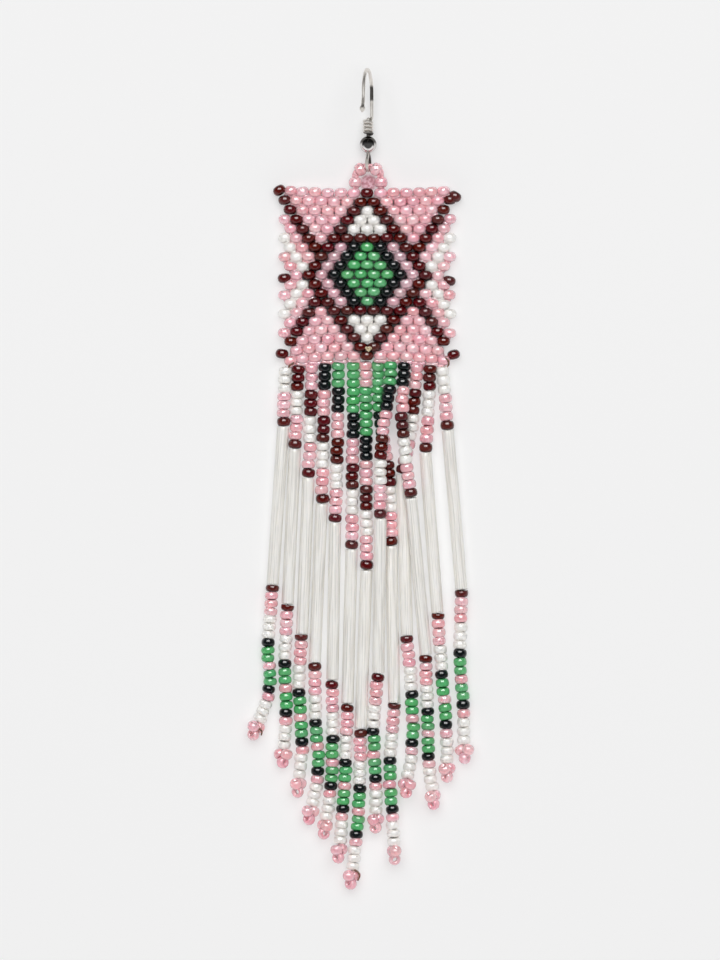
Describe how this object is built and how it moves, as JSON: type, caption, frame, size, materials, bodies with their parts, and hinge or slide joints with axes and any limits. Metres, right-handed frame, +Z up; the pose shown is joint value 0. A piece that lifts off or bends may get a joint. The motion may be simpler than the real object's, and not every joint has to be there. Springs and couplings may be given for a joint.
{
  "type": "beaded drop earring",
  "caption": "Long beaded drop earring lying face up: a fish-hook ear wire, a square woven panel of seed beads and a stepped fringe of bugle and seed bead strands.",
  "frame": {"origin": "middle of the earring's own rectangle on the surface that it lies on", "axes": "+X to the right seen from above, +Y from the fringe towards the ear wire, +Z up from the surface, which is also the front of the earring"},
  "size_m": [0.0428, 0.1538, 0.0118],
  "materials": {
    "silver_wire": "bright round wire with dark reflections",
    "silver_ball": "polished hollow ball, slightly rubbed",
    "thread": "waxed brown beading thread",
    "seed_beads": "glossy glass seed beads: pearly pink, dark red, white, green and near black",
    "bugle_glass": "satin off-white glass tube with fine lengthwise lines"
  },
  "bodies": {
    "root": {"ear_wire": "silver_wire", "hook_ball": "silver_ball", "neck_thread": "thread", "bead_panel": "seed_beads", "neck_bead_1": "seed_beads", "neck_bead_2": "seed_beads", "neck_bead_3": "seed_beads", "neck_bead_4": "seed_beads", "strand_01_top": "seed_beads", "strand_02_top": "seed_beads", "strand_03_top": "seed_beads", "strand_04_top": "seed_beads", "strand_05_top": "seed_beads", "strand_06_top": "seed_beads", "strand_07_top": "seed_beads", "strand_08_top": "seed_beads", "strand_09_top": "seed_beads", "strand_10_top": "seed_beads", "strand_11_top": "seed_beads", "strand_12_top": "seed_beads", "strand_13_top": "seed_beads", "bugle_01": "bugle_glass", "bugle_02": "bugle_glass", "bugle_03": "bugle_glass", "bugle_04": "bugle_glass", "bugle_05": "bugle_glass", "bugle_06": "bugle_glass", "bugle_07": "bugle_glass", "bugle_08": "bugle_glass", "bugle_09": "bugle_glass", "bugle_10": "bugle_glass", "bugle_11": "bugle_glass", "bugle_12": "bugle_glass", "bugle_13": "bugle_glass", "strand_01_tail": "seed_beads", "strand_02_tail": "seed_beads", "strand_03_tail": "seed_beads", "strand_04_tail": "seed_beads", "strand_05_tail": "seed_beads", "strand_06_tail": "seed_beads", "strand_07_tail": "seed_beads", "strand_08_tail": "seed_beads", "strand_09_tail": "seed_beads", "strand_10_tail": "seed_beads", "strand_11_tail": "seed_beads", "strand_12_tail": "seed_beads", "strand_13_tail": "seed_beads"}
  },
  "joints": []
}
